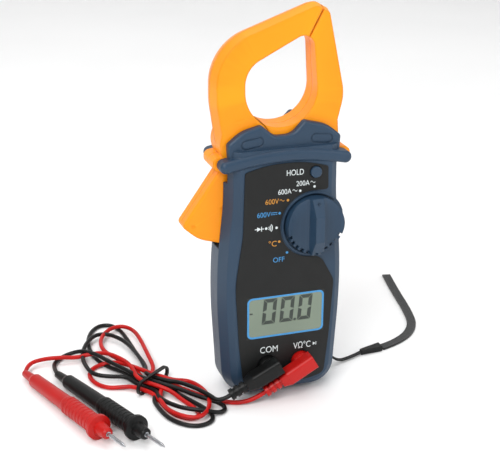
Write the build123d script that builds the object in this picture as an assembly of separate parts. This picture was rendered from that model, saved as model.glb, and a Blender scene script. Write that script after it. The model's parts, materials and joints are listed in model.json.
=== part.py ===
from build123d import *
import os
from math import cos, pi, radians, sin, tan

os.makedirs("parts", exist_ok=True)

# Clamp meter, millimetres. +X is to the viewer's right, -Y is the front, +Z runs up the long axis.
# The origin is the middle of the bottom end, on the surface that the meter stands on.

# ---------------------------------------------------------------- driving dimensions
FACE = -15.2            # depth of the front case's face
BACK = 15.0             # depth of the rear case's face
WALL = 2.2              # wall of both case halves
FLANK_INSET = 4.0       # steep slope of the flanks towards each face: across
FLANK_DEPTH = 9.0       # and along the depth
BEVEL_INSET = 2.3       # flatter band round each face: across
BEVEL_DEPTH = 2.2       # and along the flank
BEVEL = 6.3             # both together, across
CASE_TOP = 139.0        # where the case proper ends and the collar starts
COLLAR_DEPTH = 12.6     # collar's outer faces, front and rear
JAW_SLOT = 8.9          # half width of the gap that the jaws stand in
TRIGGER_SLOT = 5.9      # half width of the slot in the left flank
BAR_DEPTH = 16.8        # guard bars' outer faces, front and rear
BAR_HEIGHT = 6.4        # guard bars, seen from the front
BAR_ROUND = 2.2         # rounding of their outer edges
GAP = 0.3               # clearance between pieces that move past each other

PIVOT = (-20.0, 141.0)  # jaw pivot, x and z
PIVOT_PIN_R = 2.0
HUB_R = 13.2            # round root of the moving jaw
JAW_ROOT_HALF = 8.5     # half thickness of the jaws at their roots
JAW_TIP_HALF = 6.2      # and at their tips
JAW_CROWN = 13.0        # slope of the jaws' outer walls, degrees
CORE_WALL = 2.4         # jaw wall round the cores
TRIGGER_HALF = 5.5
SPLIT_GAP = 0.9         # gap between the two jaw tips

DIAL = (15.0, 97.2)     # selector centre, x and z
KNOB_R = 15.5
KNOB_TOP = -21.6        # knob's flat front
GRIP_TOP = -26.0        # crest of the knob's grip
RECESS_R = 16.4         # round recess that the knob turns in
RECESS_FLOOR = -13.9
STEM_HOLE_R = 3.9
STEM_R = 3.84
ROTOR_R = 11.5
PANEL_CUT_R = 18.3      # the panel stops at this radius round the selector
PANEL_THICK = 0.5

HOLD = (15.6, 125.4)    # hold button, x and z
HOLD_R = 3.0
HOLD_TRAVEL = 0.8

LCD = (0.5, 47.3)       # display centre, x and z
LCD_FRAME = (43.4, 24.0)
LCD_OPENING = (39.6, 20.2)

JACKS = (("com", -9.5), ("volt", 9.5))
JACK_Z = 19.2
SOCKET_R = 5.6          # hole that a plug's shroud goes into
SHROUD_R = 5.1
PLUG_PIN_R = 1.97
CONTACT_R = 2.05

BOARD_FRONT = -10.6
BOARD_BACK = -9.0

CELL_R = 5.25           # AAA cell
CELL_LENGTH = 44.5
CELL_X = 6.4
CELL_Y = 7.2

DOOR = (15.0, 13.0, 73.0)   # battery door: half width, bottom and top

LEAD_R = 1.2
STRAP_CORD_R = 0.6


# ---------------------------------------------------------------- helpers
def outline(points, radii, y=0.0):
    """A closed face at depth y from (x, z) corners, each rounded by its own radius."""
    corners = [(x, y, z) for x, z in points]
    return make_face(FilletPolyline(*corners, radius=radii, close=True).edges())


def slab(face, y0, y1):
    """The face, which lies at depth 0, made solid from depth y0 to depth y1."""
    return extrude(Pos(0, y0, 0) * face, amount=y1 - y0, dir=(0, 1, 0))


def block(x0, x1, y0, y1, z0, z1):
    """A plain box between two corners."""
    return Pos((x0 + x1) / 2, (y0 + y1) / 2, (z0 + z1) / 2) * Box(x1 - x0, y1 - y0, z1 - z0)


def disc(x, z, r, y0, y1):
    """A round piece along Y."""
    return Pos(x, (y0 + y1) / 2, z) * Rot(90, 0, 0) * Cylinder(r, y1 - y0)


def tube(x, z, r_out, r_in, y0, y1):
    """A round pipe along Y."""
    return disc(x, z, r_out, y0, y1) - disc(x, z, r_in, y0 - 1, y1 + 1)


def rod(x, y, r, z0, z1):
    """A round piece along Z."""
    return Pos(x, y, (z0 + z1) / 2) * Cylinder(r, z1 - z0)


def edges_at(part, y):
    """The edges of a part that lie in the plane at depth y."""
    return part.edges().filter_by_position(Axis.Y, y - 1e-3, y + 1e-3)


def rim(part, y):
    """The same edges without those along the case's straight top."""
    return ShapeList([e for e in edges_at(part, y) if e.center().Z < CASE_TOP - 0.5])


def mirrored(points):
    """The corners of a symmetric outline, from those of its right half, bottom to top."""
    return points + [(-x, z) for x, z in reversed(points)]


def both(radii):
    """The radii that go with mirrored corners."""
    return radii + radii[::-1]


def helix_spring(coil_r, wire_r, turns, length):
    """A coil spring standing on the XY plane along +Z."""
    path = Helix(pitch=length / turns, height=length, radius=coil_r)
    section = Plane(origin=path @ 0, z_dir=path % 0) * Circle(wire_r)
    return sweep(section, path=path)


def solid_of(part):
    """The single solid of a part."""
    return part.solids().sort_by(SortBy.VOLUME)[-1]


def write(name, *pieces):
    """One node: all the solids that make it, in one STEP file."""
    solids = [s for piece in pieces for s in piece.solids()]
    shape = solids[0] if len(solids) == 1 else Compound(children=solids)
    export_step(shape, f"parts/{name}.step")


# ---------------------------------------------------------------- case outlines
def case_outline(inset=0.0):
    """The case seen from the front, from its base to the collar."""
    half = [(31.4, 0), (35.5, 67), (31.0, 110), (30.8, CASE_TOP)]
    radii = [15.5 - inset, 300, 150, 0]
    points = [(x - inset, z + inset if z == 0 else z) for x, z in half]
    return outline(mirrored(points), both(radii))


def collar_outline():
    """The collar over the jaw roots: two humps with a saddle between them."""
    right = [(29.6, 128), (30.4, 142.6), (23.0, 148.7), (10.4, 151.9), (3.5, 144.9)]
    left = [(-5.5, 144.9), (-12.4, 150.9), (-23.0, 148.3), (-30.4, 142.3), (-29.6, 128)]
    return outline(right + left, [0.5, 2.2, 18, 2.0, 8, 6, 2.0, 18, 2.2, 0.5])


def bar_outline(grow=0.0, reach=0.0):
    """A guard bar: a shallow arch with round ends."""
    half, end_x, end_z, rise = BAR_HEIGHT / 2 + grow, 35.2 + grow + reach, 131.0, 7.0
    points = [(-end_x, end_z - half), (0, end_z + rise - half), (end_x, end_z - half)]
    points += [(end_x, end_z + half), (0, end_z + rise + half), (-end_x, end_z + half)]
    return outline(points, [3.0, 140, 3.0, 3.0, 140, 3.0])


def case_half(side):
    """One outer case half, before its openings are cut: side is -1 in front and 1 behind."""
    depth = abs(FACE) if side < 0 else BACK
    shell = slab(case_outline(), min(0, side * depth), max(0, side * depth))
    for across, along in ((FLANK_INSET, FLANK_DEPTH), (BEVEL_INSET, BEVEL_DEPTH)):
        face = shell.faces().sort_by(Axis.Y)[0 if side < 0 else -1]
        shell = chamfer(rim(shell, side * depth), across, along, reference=face)
    shell = fillet(rim(shell, side * depth), 1.2)
    hollow = slab(case_outline(WALL), min(0, side * (depth - WALL)), max(0, side * (depth - WALL)))
    hollow = chamfer(rim(hollow, side * (depth - WALL)), BEVEL - 0.5 * WALL)
    hollow -= block(-40, 40, -20, 20, CASE_TOP - WALL, CASE_TOP + 9)
    collar = slab(collar_outline(), min(0, side * COLLAR_DEPTH), max(0, side * COLLAR_DEPTH))
    collar = fillet(edges_at(collar, side * COLLAR_DEPTH), 1.8)
    bar = slab(bar_outline(), min(side * 6, side * BAR_DEPTH), max(side * 6, side * BAR_DEPTH))
    bar = fillet(edges_at(bar, side * BAR_DEPTH), BAR_ROUND)
    shell = shell - hollow + collar + bar
    shell -= block(-45, 45, -JAW_SLOT, JAW_SLOT, 121.5, 160)
    shell -= block(-45, -20, -TRIGGER_SLOT, TRIGGER_SLOT, 85.0, 125)
    return shell


# ---------------------------------------------------------------- case
CASE_SCREWS = ((-25.0, 24.0), (25.0, 24.0))
JAW_SCREW = (22.0, 141.5)
BOARD_SCREWS = ((-23.4, 66.0), (23.8, 66.0), (-19.5, 118.0))
CASE_SCREW_R = 1.25
STRAP_HOLE = (7.5, 9.0)     # y and z of the strap's hole in the right flank
BADGES = ((-17.6, 142.2, 9.0), (19.6, 142.0, -6.0))


def dial_boss():
    """The round boss that carries the selector out over the bevel, on the right."""
    boss = disc(*DIAL, RECESS_R + 1.2, FACE - 0.7, RECESS_FLOOR + 1.4)
    boss -= block(25.5, 40, -20, RECESS_FLOOR, 60, 130)
    boss += disc(*DIAL, RECESS_R + 1.2, RECESS_FLOOR + 1.3, FACE + BEVEL) & block(25.5, 40, -20, 0, 60, 130)
    return boss & slab(case_outline(), -20, 0)


def front_case():
    """The front half: face, left and right flanks, front collar and front guard bar."""
    shell = case_half(-1)
    shell += dial_boss()
    shell -= disc(*DIAL, RECESS_R, FACE - 2, RECESS_FLOOR)
    shell -= disc(*DIAL, ROTOR_R + 0.5, RECESS_FLOOR + 1.4, -5)
    shell -= disc(*DIAL, STEM_HOLE_R, FACE - 1, -5)
    shell -= Pos(LCD[0], -14, LCD[1]) * Box(LCD_OPENING[0], 6, LCD_OPENING[1])
    shell -= disc(*HOLD, HOLD_R + GAP, FACE - 1, -5)
    shell -= disc(*HOLD, HOLD_R + 1.8, FACE + WALL, -8)
    for _, x in JACKS:
        shell -= disc(x, JACK_Z, SOCKET_R, FACE - 1, -5)
    for x, z in CASE_SCREWS:
        shell += disc(x, z, 3.0, FACE + 1.5, -0.2)
        shell -= disc(x, z, CASE_SCREW_R, -11, 1)
    for x, z in BOARD_SCREWS:
        shell += tube(x, z, 1.9, 0.8, FACE + 1.5, BOARD_FRONT)
    shell -= disc(*PIVOT, PIVOT_PIN_R, -11.2, -5)
    shell -= disc(*JAW_SCREW, CASE_SCREW_R, -11.4, -5)
    for x, z, turn in BADGES:
        plate = Pos(x, -COLLAR_DEPTH, z) * Rot(90, 0, 0) * Rot(0, 0, turn)
        shell -= plate * extrude(SlotOverall(12.0, 5.2) - SlotOverall(10.8, 4.0), 0.3, both=True)
    return shell


def rear_case():
    """The rear half: back, battery opening, rear collar and rear guard bar."""
    shell = case_half(1)
    half, z0, z1 = DOOR
    shell -= block(-half, half, BACK - 4, BACK + 1, z0, z1)
    shell += block(-half - 2, half + 2, BACK - 4.8, BACK - 2.1, z0 - 2.5, z0 + 4.2)
    shell -= disc(0, z0 + 2.4, 1.35, 5, BACK)
    for x, z in CASE_SCREWS:
        shell += disc(x, z, 4.0, 0.2, BACK - 1.5)
        shell -= disc(x, z, 1.5, -1, BACK)
        shell -= disc(x, z, 2.8, 6, BACK + 1)
    shell -= disc(*PIVOT, PIVOT_PIN_R, 5, 11.2)
    shell -= disc(*JAW_SCREW, 1.5, 5, 15)
    shell -= disc(*JAW_SCREW, 2.8, 11.0, 15)
    y, z = STRAP_HOLE
    shell -= Pos(32, y, z) * Rot(0, 90, 0) * Cylinder(1.7, 12)
    return shell


def face_panel():
    """The thin printed sheet on the face, cut back round the selector."""
    right = [(13.5, 7.2), (23.0, 9.6), (25.3, 32), (27.4, 66.5), (23.3, 94), (22.4, 128.0), (10, 131.4)]
    panel = outline(mirrored(right), both([24, 4.5, 70, 60, 50, 1.5, 60]))
    side = outline([(DIAL[0], 78.9), (19.4, 78.9), (28.6, 62), (40, 62), (40, 115.5), (DIAL[0], 115.5)],
                   [0, 7, 0, 0, 0, 0])
    round_cut = slab(panel, FACE - PANEL_THICK, FACE) - disc(*DIAL, PANEL_CUT_R, FACE - 1, FACE + 1)
    panel = round_cut - slab(side, FACE - 1, FACE + 1)
    for low, high, radius in ((60, 70, 8.0), (114, 117, 1.5)):
        uprights = panel.edges().filter_by(Axis.Y)
        corners = [e for e in uprights if e.center().X > 20 and low < e.center().Z < high]
        panel = fillet(corners, radius)
    panel -= Pos(LCD[0], FACE, LCD[1]) * Box(LCD_FRAME[0], 4, LCD_FRAME[1])
    panel -= disc(*HOLD, HOLD_R + GAP, FACE - 1, FACE + 1)
    for _, x in JACKS:
        panel -= disc(x, JACK_Z, SOCKET_R, FACE - 1, FACE + 1)
    return panel


# ---------------------------------------------------------------- display and board
def display_lens():
    """The clear window: a plate flush with the panel, on a step that fills the case opening."""
    width, height = LCD_FRAME
    plate = Pos(LCD[0], FACE - PANEL_THICK / 2, LCD[1]) * Box(width, PANEL_THICK, height)
    step = Pos(LCD[0], FACE + 0.9, LCD[1]) * Box(LCD_OPENING[0], 1.8, LCD_OPENING[1])
    return plate + step


def lcd_glass():
    """The liquid crystal cell behind the window."""
    return Pos(LCD[0], -12.0, LCD[1]) * Box(42.0, 1.8, 22.6)


def lcd_holder():
    """The frame that presses the cell against the case."""
    frame = Pos(LCD[0], -11.9, LCD[1]) * Box(45.0, 1.9, 25.4)
    return frame - Pos(LCD[0], -11.9, LCD[1]) * Box(42.2, 4, 22.8)


def zebra_strips():
    """The rubber connectors between the cell and the board."""
    return [Pos(LCD[0], -10.85, LCD[1] + s * 9.8) * Box(36, 0.5, 2.0) for s in (-1, 1)]


def main_board():
    """The circuit board, with holes for the selector's stem, the sockets and the screws."""
    right = [(16, 8.5), (20.8, 11), (20.8, 30), (26.0, 36), (26.8, 66), (24.4, 96), (24.0, 127.4)]
    board = slab(outline(mirrored(right), both([3, 2, 1, 2, 20, 20, 2])), BOARD_FRONT, BOARD_BACK)
    board -= disc(*DIAL, 3.0, -20, 0)
    for _, x in JACKS:
        board -= disc(x, JACK_Z, 7.1, -20, 0)
    for x, z in BOARD_SCREWS:
        board -= disc(x, z, 1.1, -20, 0)
    return board


def board_parts():
    """The chips and small parts soldered to the back of the board."""
    chips = [block(-12, 0, BOARD_BACK, BOARD_BACK + 1.6, 44, 56)]
    chips += [block(6, 14, BOARD_BACK, BOARD_BACK + 1.4, 46, 51)]
    chips += [block(-16 + 4 * i, -13.6 + 4 * i, BOARD_BACK, BOARD_BACK + 0.8, 62, 63.4) for i in range(7)]
    chips += [disc(18, 74, 2.6, BOARD_BACK, BOARD_BACK + 2.8)]
    return chips


def board_screws():
    """Three small screws that hold the board to the front case."""
    screws = []
    for x, z in BOARD_SCREWS:
        screws.append(disc(x, z, 0.8, -12.6, BOARD_BACK) + disc(x, z, 1.7, BOARD_BACK, BOARD_BACK + 1.0))
    return screws


def buzzer():
    """The flat round sounder behind the board."""
    return tube(-14, 78, 5.0, 0.9, BOARD_BACK, BOARD_BACK + 2.6)


def case_screws():
    """Two long screws through the case bosses and one through the fixed jaw's root."""
    screws = []
    for x, z in CASE_SCREWS:
        screws.append(disc(x, z, CASE_SCREW_R, -10.6, 6.0) + disc(x, z, 2.5, 6.0, 7.8))
    x, z = JAW_SCREW
    screws.append(disc(x, z, CASE_SCREW_R, -11.2, 11.0) + disc(x, z, 2.5, 11.0, 12.4))
    slots = [disc(x, z, 0.5, 7.0, 9.0) for x, z in CASE_SCREWS] + [disc(*JAW_SCREW, 0.5, 11.6, 13)]
    return [screw - slot for screw, slot in zip(screws, slots)]


def jack_housing(x):
    """The insulating cup behind a socket's hole."""
    cup = disc(x, JACK_Z, 7.0, FACE + WALL, 0.2) - disc(x, JACK_Z, SOCKET_R, -20, -1.2)
    return cup - disc(x, JACK_Z, 3.0, -3, 1)


def jack_contact(x):
    """The split brass tube that grips a plug's pin."""
    return tube(x, JACK_Z, 3.0, CONTACT_R, -13.8, 0.2)


# ---------------------------------------------------------------- battery compartment
def battery_tray():
    """The open box that holds the two cells."""
    tray = block(-13.8, 13.8, 0.5, 12.7, 19.6, 70.4) - block(-12.6, 12.6, 1.7, 14, 20.8, 69.2)
    return tray + block(-0.5, 0.5, 1.6, 5.0, 20.8, 69.2)


def cell(x, z0, nub_up):
    """One AAA cell with its positive nub."""
    body = rod(x, CELL_Y, CELL_R, z0, z0 + CELL_LENGTH - 0.9) + rod(x, CELL_Y, 1.9, z0, z0 + CELL_LENGTH)
    return body if nub_up else Pos(2 * x, 0, 2 * z0 + CELL_LENGTH) * Rot(0, 180, 0) * body


def batteries():
    """The two cells, head to tail."""
    return [cell(-CELL_X, 24.2, True), cell(CELL_X, 21.3, False)]


def battery_contacts():
    """The flat plates at the cells' positive ends and the springs at their negative ends."""
    parts = [block(-CELL_X - 3, -CELL_X + 3, CELL_Y - 3, CELL_Y + 3, 68.75, 69.15)]
    parts += [block(CELL_X - 3, CELL_X + 3, CELL_Y - 3, CELL_Y + 3, 20.85, 21.25)]
    for x, z in ((-CELL_X, 21.1), (CELL_X, 66.1)):
        parts.append(Pos(x, CELL_Y, z) * helix_spring(2.8, 0.25, 3, 2.75))
    return parts


def battery_door():
    """The cover over the battery compartment, with grip ribs and a sunk screw hole."""
    half, z0, z1 = DOOR
    door = block(-half + GAP, half - GAP, BACK - 2.0, BACK, z0 + GAP, z1 - GAP)
    door = fillet(edges_at(door, BACK), 0.5)
    for i in range(4):
        door -= block(-8, 8, BACK - 0.5, BACK + 1, z1 - 8 + 1.6 * i, z1 - 7.2 + 1.6 * i)
    screw_z = z0 + 2.4 + 0.6
    door -= disc(0, screw_z - 0.6, 1.3, BACK - 4, BACK + 1)
    return door - disc(0, screw_z - 0.6, 2.3, BACK - 1.1, BACK + 1)


def battery_door_screw():
    """The captive screw that holds the battery door."""
    z = DOOR[1] + 2.4
    screw = disc(0, z, 1.2, BACK - 6.5, BACK - 1.0) + disc(0, z, 2.1, BACK - 1.1, BACK - 0.2)
    return screw - block(-1.6, 1.6, BACK - 0.6, BACK + 1, z - 0.25, z + 0.25)


# ---------------------------------------------------------------- jaws
RING_OUTER = [(-33.2, 139.5), (-36.4, 161), (-36.4, 190.1), (18.2, 210.0),
              (26.0, 205.4), (34.9, 163), (29.0, 139.5)]
RING_OUTER_R = [0.5, 40, 29, 6, 2.5, 25, 0.5]
WINDOW = [(-19.9, 148.3), (-19.9, 179.0), (16.2, 197.2), (19.9, 148.3)]
WINDOW_R = [18.8, 14, 6, 18.8]
SPLIT_LOW, SPLIT_HIGH = (9.7, 186.0), (25.5, 215.0)   # two points on the line between the tips


def window_face():
    """The opening between the jaws."""
    return outline(WINDOW, WINDOW_R)


def moving_side():
    """The half of the plane left of the split and above the pivot."""
    points = [(-60, 118), PIVOT, (-12.9, 152.3), (-5, 165), SPLIT_LOW, SPLIT_HIGH, (-60, 215)]
    return outline(points, 0)


def fixed_side():
    """The half of the plane right of the split and of the moving jaw's hub."""
    low, high = (SPLIT_LOW[0] + SPLIT_GAP, SPLIT_LOW[1]), (SPLIT_HIGH[0] + SPLIT_GAP, SPLIT_HIGH[1])
    points = [(-7, 123), (45, 123), (45, 215), high, low, (-4, 165), (-12.7, 152.8), (-7, 141)]
    return outline(points, 0)


def trigger_face():
    """The thumb lever below the guard, and the arm that joins it to the hub."""
    points = [(-31.5, 131), (-33.9, 125.6), (-52.6, 98.9), (-44.0, 91.2)]
    points += [(-27, 86.4), (-26.5, 110), (-18, 127), (-18, 133)]
    return outline(points, [1, 2, 2.2, 20, 1.2, 10, 2, 0.5])


def wedge(side):
    """What thins the jaws towards their tips, on one side."""
    y0, y1 = side * JAW_ROOT_HALF, side * (JAW_TIP_HALF - 0.35)
    far = side * 14
    points = [(-60, y0, 150), (-60, far, 150), (-60, far, 216), (-60, y1, 216)]
    return extrude(make_face(Polyline(*points, close=True)), amount=120, dir=(1, 0, 0))


def shoulder(left):
    """The jaws' part of the hand guard, between the two case bars."""
    x0, x1 = (-45, -24) if left else (20, 45)
    return bar_outline(0.4, 1.4) & outline([(x0, 120), (x1, 120), (x1, 150), (x0, 150)], 0)


def jaw_arm(region, side):
    """One half of a jaw's arm: crowned on the outside, straight in the window, thinner at the tip."""
    arm = extrude(outline(RING_OUTER, RING_OUTER_R), amount=JAW_ROOT_HALF, dir=(0, side, 0), taper=JAW_CROWN)
    arm = arm & slab(region, -20, 20)
    arm -= slab(window_face(), -20, 20)
    return arm - wedge(side)


def half_slab(face, side, depth):
    """A face made solid from the parting plane to one side."""
    return slab(face, min(0, side * depth), max(0, side * depth))


def half_disc(x, z, r, side, depth):
    """A round piece along Y from the parting plane to one side."""
    return disc(x, z, r, min(0, side * depth), max(0, side * depth))


def core_band(wall):
    """The band that follows a jaw's arm, with a wall left on both sides of it."""
    return offset(outline(RING_OUTER, RING_OUTER_R), -wall) - offset(window_face(), wall)


def moving_core():
    """The steel core of the moving jaw."""
    return slab(core_band(CORE_WALL) & moving_side(), -4, 4) & block(-60, 60, -10, 10, 154, 220)


def fixed_cavity():
    """The hollow of the fixed jaw."""
    return slab(core_band(CORE_WALL) & fixed_side(), -4.2, 4.2) & block(0, 60, -10, 10, 150, 220)


def fixed_core():
    """The steel core of the fixed jaw."""
    return slab(core_band(CORE_WALL + 2) & fixed_side(), -2.4, 2.4) & block(0, 60, -10, 10, 151, 220)


def pickup_coil():
    """The winding round the fixed jaw's core."""
    return (fixed_cavity() & block(0, 60, -10, 10, 157, 180)) - fixed_core()


def trigger(side):
    """The thumb lever's half, with rounded edges and two shallow dimples in front."""
    lever = half_slab(trigger_face(), side, TRIGGER_HALF)
    lever = fillet(edges_at(lever, side * TRIGGER_HALF), 1.0)
    for x, z in ((-31.4, 107.0), (-46.6, 98.5)):
        lever -= Pos(x, side * (TRIGGER_HALF + 0.5), z) * Sphere(1.0)
    return lever


def moving_jaw(side):
    """One half shell of the moving jaw: arm, hub, guard shoulder and trigger."""
    jaw = jaw_arm(moving_side(), side)
    jaw += half_disc(*PIVOT, HUB_R, side, JAW_ROOT_HALF)
    jaw += half_slab(shoulder(True), side, JAW_ROOT_HALF) + trigger(side)
    jaw -= slab(window_face(), -20, 20)
    jaw -= moving_core()
    jaw -= disc(*PIVOT, PIVOT_PIN_R + 0.04, -20, 20)
    if side > 0:
        jaw -= disc(*PIVOT, 4.9, 3.2, 20)
    return solid_of(jaw)


def fixed_jaw(side):
    """One half shell of the fixed jaw: arm, root inside the case and guard shoulder."""
    root = outline([(-5.4, 124.2), (28.8, 124.2), (30.4, 140), (29.6, 150), (-5.4, 152)], [1, 1, 6, 0.5, 0.5])
    jaw = jaw_arm(fixed_side(), side) + half_slab(root, side, JAW_ROOT_HALF)
    jaw += half_slab(shoulder(False), side, JAW_ROOT_HALF)
    jaw -= slab(window_face(), -20, 20)
    jaw -= disc(*PIVOT, HUB_R + 0.4, -20, 20)
    jaw -= fixed_cavity()
    return solid_of(jaw - disc(*JAW_SCREW, 1.5, -20, 20))


def jaw_pivot_pin():
    """The pin that the moving jaw turns on, held in both case halves."""
    return disc(*PIVOT, PIVOT_PIN_R, -11.2, 11.2)


def trigger_spring():
    """The torsion spring in the hub's rear recess."""
    return Pos(PIVOT[0], 3.9, PIVOT[1]) * Rot(-90, 0, 0) * helix_spring(3.6, 0.45, 4, 4.0)


# ---------------------------------------------------------------- selector and hold button
GRIP_HALF_TOP = 2.5
GRIP_HALF_BASE = 3.75
NOTCHES = 11            # grip notches in the lower part of the rim


def selector_knob():
    """The knob: a disc, a tapered grip across it, scoops on both sides, and notches in the rim."""
    x0, z0 = DIAL
    knob = disc(x0, z0, KNOB_R, GRIP_TOP, RECESS_FLOOR - GAP)
    for s in (-1, 1):
        base, far, top = x0 + s * GRIP_HALF_BASE, x0 + s * 17, x0 + s * GRIP_HALF_TOP
        floor = ThreePointArc((base, -19.6, 0), (x0 + s * 9, -18.8, 0), (far, KNOB_TOP, 0))
        sides = Polyline(floor @ 1, (far, -30, 0), (top, -30, 0), (top, GRIP_TOP, 0), floor @ 0)
        scoop = extrude(make_face(floor.edges() + sides.edges()), amount=40, dir=(0, 0, 1))
        knob -= Pos(0, 0, z0 - 20) * scoop
    for s in (-1, 1):
        near, far = z0 + s * 7, z0 + s * 17
        ramp = Polyline((0, GRIP_TOP, near), (0, -30, near), (0, -30, far), (0, -21.0, far), close=True)
        knob -= Pos(x0 - 10, 0, 0) * extrude(make_face(ramp), amount=20, dir=(1, 0, 0))
    for i in range(NOTCHES):
        turn = 200 + 135 * i / (NOTCHES - 1)
        x, z = x0 + KNOB_R * cos(radians(turn)), z0 + KNOB_R * sin(radians(turn))
        knob -= Pos(x, -23.2, z) * Rot(0, -turn, 0) * Box(3.4, 14, 1.9)
    knob -= Pos(x0, -23.2, z0 + 13.0) * Sphere(0.9)
    return solid_of(knob + disc(x0, z0, STEM_R, RECESS_FLOOR - 1, RECESS_FLOOR + 1.7))


def knob_rotor():
    """The disc on the stem's end that carries the wiping contacts."""
    rotor = disc(*DIAL, ROTOR_R, RECESS_FLOOR + 1.7, RECESS_FLOOR + 2.6)
    return rotor + disc(*DIAL, 2.6, RECESS_FLOOR + 2.5, -7.5)


def wiper_contacts():
    """The sprung fingers that run over the board's rings."""
    x0, z0 = DIAL
    return [disc(x0 + r * cos(a), z0 + r * sin(a), 0.9, RECESS_FLOOR + 2.6, BOARD_FRONT - 0.05)
            for r in (6.0, 9.0) for a in (0.3, 0.3 + 2 * pi / 3, 0.3 + 4 * pi / 3)]


def hold_button():
    """The round push button, with the flange that keeps it in the case."""
    button = disc(*HOLD, HOLD_R, FACE - 1.9, -11.9)
    button = fillet(edges_at(button, FACE - 1.9), 0.6)
    return button + disc(*HOLD, HOLD_R + 1.2, -12.7, -11.9)


def hold_switch():
    """The small dome switch behind the button."""
    return disc(*HOLD, 2.0, BOARD_FRONT - 0.45, BOARD_FRONT)


# ---------------------------------------------------------------- test leads
PLUG_Y = -22.0                                  # depth of the plugs' axes
PLUG_TURN = {"black": 26.5, "red": 29.5}        # how far each plug's body hangs below level
PLUG_JACK = {"black": JACKS[0][1], "red": JACKS[1][1]}
PLUG_HEAD = 5.5                                 # body's length beyond the jack's axis
PLUG_BODY = 15.5                                # and on the lead's side
PLUG_TAIL = 10.0                                # ribbed strain relief


def plug_body(colour):
    """The angled plug: a tapered block with a ribbed tail and a round shroud."""
    sections = []
    for at, wide, tall in ((PLUG_HEAD, 8.6, 8.4), (-11.0, 8.6, 8.4), (-PLUG_BODY, 6.2, 6.2)):
        plane = Plane(origin=(at, 0, 0), x_dir=(0, 1, 0), z_dir=(-1, 0, 0))
        sections.append(plane * RectangleRounded(wide, tall, 1.8))
    body = loft(sections, ruled=True)
    tail = Pos(-PLUG_BODY - PLUG_TAIL / 2, 0, 0) * Rot(0, 90, 0) * Cylinder(2.5, PLUG_TAIL)
    for i in range(3):
        tail += Pos(-PLUG_BODY - 2.0 - 3.4 * i, 0, 0) * Rot(0, 90, 0) * Cylinder(3.2, 2.2)
    body = Pos(PLUG_JACK[colour], PLUG_Y, JACK_Z) * Rot(0, -PLUG_TURN[colour], 0) * (body + tail)
    x = PLUG_JACK[colour]
    shroud = disc(x, JACK_Z, SHROUD_R, PLUG_Y + 3.0, -6.0) - disc(x, JACK_Z, SHROUD_R - 1.5, PLUG_Y + 4.5, -5)
    return solid_of(body + shroud)


def plug_pin(colour):
    """The banana pin inside a plug's shroud."""
    x = PLUG_JACK[colour]
    pin = disc(x, JACK_Z, PLUG_PIN_R, PLUG_Y + 4.5, -2.2)
    return chamfer(edges_at(pin, -2.2), 0.6)


def plug_end(colour):
    """Where the lead leaves a plug, and the way it points."""
    turn = radians(PLUG_TURN[colour])
    length = PLUG_BODY + PLUG_TAIL
    point = (PLUG_JACK[colour] - length * cos(turn), PLUG_Y, JACK_Z - length * sin(turn))
    return Vector(*point), Vector(-cos(turn), 0, -sin(turn))


def cord(points, r, name):
    """A cord along straight runs joined by the widest arcs that the runs allow."""
    path_points = [Vector(*p) for p in points]
    radii = []
    for a, b, c in zip(path_points, path_points[1:], path_points[2:]):
        turn = (b - a).get_angle(c - b)
        radii.append(0.45 * min((b - a).length, (c - b).length) / tan(radians(turn) / 2))
    path = FilletPolyline(*path_points, radius=radii) if radii else Polyline(*path_points)
    section = Plane(origin=path @ 0, z_dir=path % 0) * Circle(r)
    tube_solid = sweep(section, path=path)
    print(name, "radii", [round(v, 1) for v in radii], "length", round(path.length, 1),
          "volume", round(tube_solid.volume, 1), "section x length", round(pi * r * r * path.length, 1))
    return tube_solid


PROBE_Z = 3.5           # height of a probe's axis over the table, at its back end
PROBE_RISE = 0.0405     # and its rise per millimetre: a probe rests on its guard and its back
PROBE_LENGTH = 105.0
SHANK_R = 1.3           # the metal inside the handle
SHANK_END = 89.0        # and where it steps down to the bare point
PROBE_BACK = {"black": (-113.7, 37.4), "red": (-130.6, 44.1)}
PROBE_TIP = {"black": (-77.9, -62.0), "red": (-96.4, -55.1)}


def probe_frame(colour):
    """A frame at a probe's back end, with Z along the probe."""
    back, tip = PROBE_BACK[colour], PROBE_TIP[colour]
    level = Vector(tip[0] - back[0], tip[1] - back[1], 0).normalized()
    way = level + Vector(0, 0, PROBE_RISE)
    return Plane(origin=(*back, PROBE_Z), x_dir=(-level.Y, level.X, 0), z_dir=way)


def turned(points):
    """A solid turned about Z from (radius, height) corners."""
    face = make_face(Polyline(*[(r, 0, h) for r, h in points], close=True))
    return revolve(face, Axis.Z)


def probe_handle(colour):
    """The handle, with its boot, ribbed grip, finger guard and nose."""
    profile = [(0, 0), (2.0, 0), (2.6, 9), (3.9, 12), (4.3, 47), (4.5, 48)]
    for rib in range(9):
        h = 48.4 + 3.2 * rib
        profile += [(4.4, h), (5.0, h + 0.5), (5.0, h + 2.5), (4.4, h + 3.0)]
    profile += [(4.8, 77.6), (6.6, 78.0), (6.6, 80.2), (3.8, 80.8)]
    profile += [(3.0, 88.2), (2.3, SHANK_END), (SHANK_R, SHANK_END), (SHANK_R, 80), (0, 80)]
    return probe_frame(colour) * turned(profile)


def probe_tip(colour):
    """The bare metal point."""
    end = PROBE_LENGTH
    shank = [(0, 80), (SHANK_R, 80), (SHANK_R, SHANK_END), (1.0, SHANK_END)]
    return probe_frame(colour) * turned(shank + [(1.0, end - 3), (0.25, end), (0, end)])


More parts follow.
